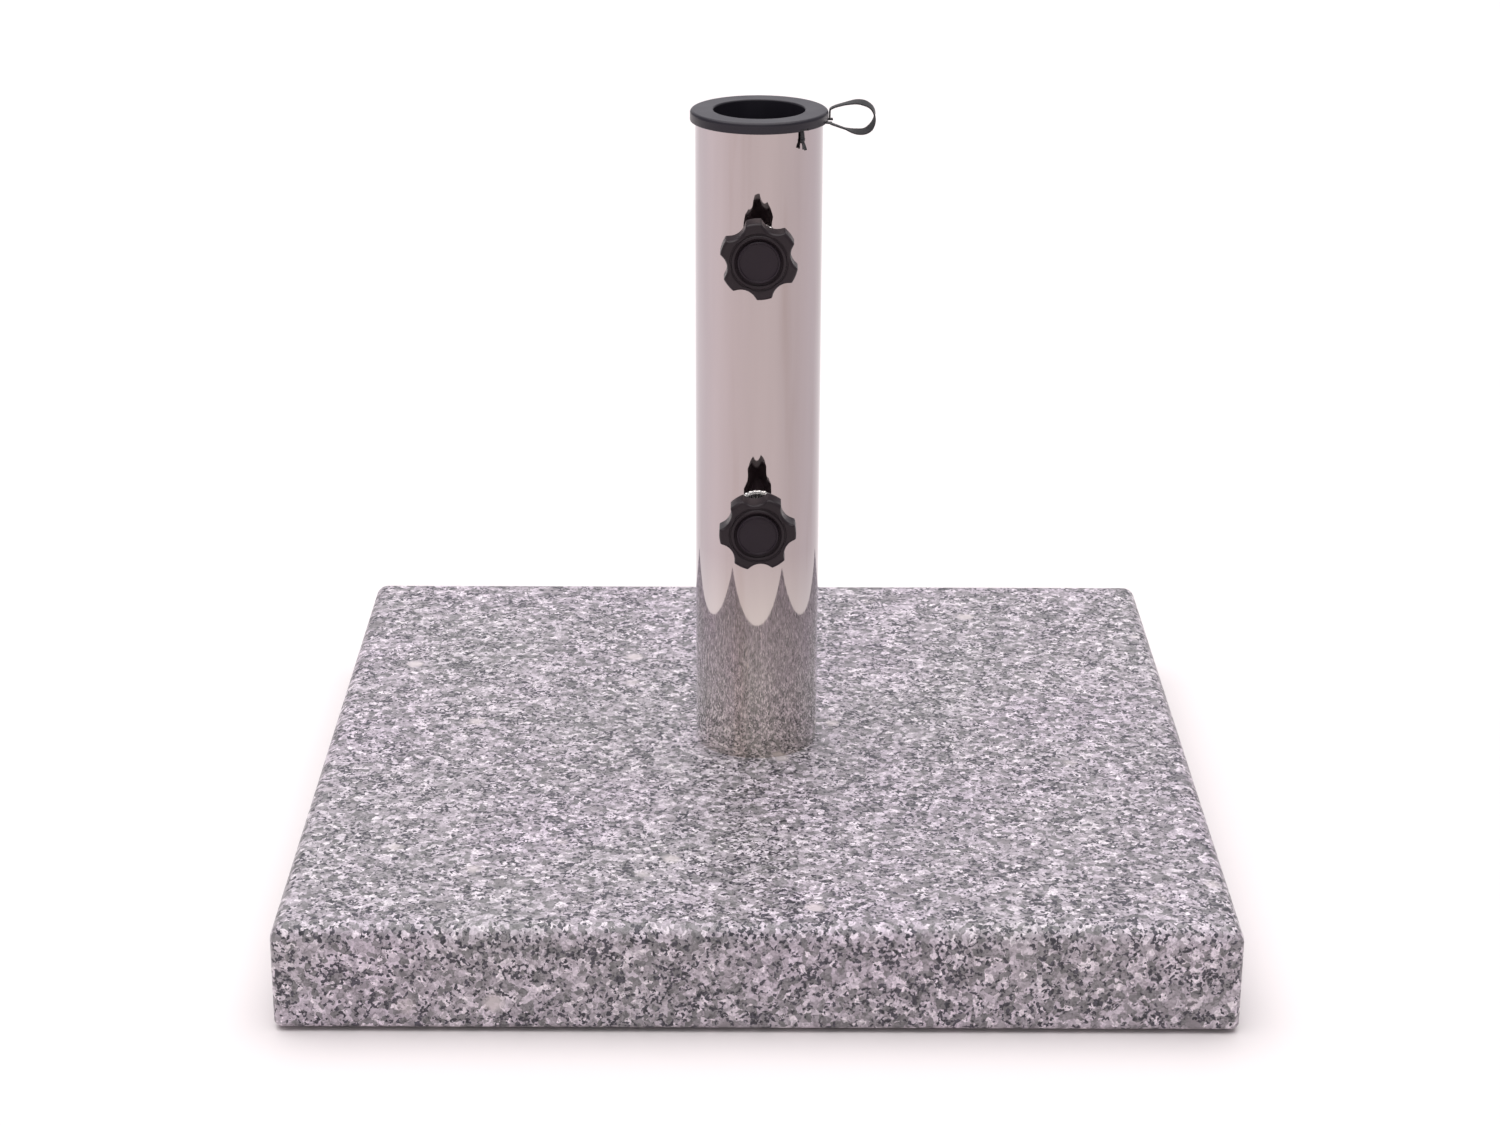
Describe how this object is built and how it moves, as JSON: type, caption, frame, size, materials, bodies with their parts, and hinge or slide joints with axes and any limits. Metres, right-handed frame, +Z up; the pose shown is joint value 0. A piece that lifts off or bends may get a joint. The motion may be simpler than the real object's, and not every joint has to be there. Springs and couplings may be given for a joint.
{
  "type": "parasol base",
  "caption": "Square stone slab with an upright polished tube; a removable plastic collar guides the pole and star knobs clamp it.",
  "frame": {"origin": "under the middle of the slab, on the ground its feet stand on", "axes": "+Z up along the tube, -Y towards the front with the clamp knobs, +X towards the pull strap's side"},
  "size_m": [0.45, 0.45, 0.3932],
  "materials": {
    "granite": "polished fine-grained light grey granite with a lilac tint and dark specks",
    "foot_rubber": "matte black rubber",
    "polished_steel": "mirror-polished stainless steel",
    "plain_steel": "plain welded steel",
    "zinc_steel": "bright zinc-plated steel",
    "plated_steel": "bright plated turned steel",
    "collar_plastic": "dark grey moulded plastic with a fine matte texture",
    "strap_webbing": "dark grey thin woven ribbon",
    "knob_plastic": "black moulded plastic with a satin sheen",
    "cap_plastic": "black moulded plastic, fine matte",
    "pad_nylon": "natural white nylon"
  },
  "bodies": {
    "base": {"granite_slab": "granite", "foot_front_left": "foot_rubber", "foot_front_right": "foot_rubber", "foot_back_left": "foot_rubber", "foot_back_right": "foot_rubber", "pole_tube": "polished_steel", "tube_base_plate": "plain_steel", "weld_nut": "plain_steel", "slab_bolt": "zinc_steel", "slab_washer": "zinc_steel", "lock_washer": "zinc_steel", "upper_bush": "plated_steel", "lower_bush": "plated_steel"},
    "collar": {"pole_collar": "collar_plastic", "pull_strap_band": "strap_webbing", "pull_strap_knot": "strap_webbing", "pull_strap_loop": "strap_webbing"},
    "upper_pad": {"upper_pressure_pad": "pad_nylon"},
    "upper_knob": {"upper_knob_body": "knob_plastic", "upper_knob_cap": "cap_plastic", "upper_knob_screw": "zinc_steel"},
    "lower_pad": {"lower_pressure_pad": "pad_nylon"},
    "lower_knob": {"lower_knob_body": "knob_plastic", "lower_knob_cap": "cap_plastic", "lower_knob_screw": "zinc_steel"}
  },
  "joints": [
    {"name": "collar_lift", "type": "slide", "parent": "base", "child": "collar", "axis": [0, 0, 1], "range_m": [0, 0.06]},
    {"name": "upper_screw_travel", "type": "slide", "parent": "base", "child": "upper_pad", "axis": [0, -1, 0], "range_m": [-0.00355, 0.00655]},
    {"name": "upper_knob_turn", "type": "hinge", "parent": "upper_pad", "child": "upper_knob", "pos_m": [0, -0.05, 0.3265], "axis": [0, -1, 0], "range_deg": [-1008, 1872]},
    {"name": "lower_screw_travel", "type": "slide", "parent": "base", "child": "lower_pad", "axis": [0, -1, 0], "range_m": [-0.00805, 0.00205]},
    {"name": "lower_knob_turn", "type": "hinge", "parent": "lower_pad", "child": "lower_knob", "pos_m": [0, -0.05, 0.1895], "axis": [0, -1, 0], "range_deg": [-2304, 576]}
  ],
  "couplings": [
    {"joint": "upper_screw_travel", "follows": "upper_knob_turn", "m_per_rad": 0.00019894},
    {"joint": "lower_screw_travel", "follows": "lower_knob_turn", "m_per_rad": 0.00019894}
  ]
}
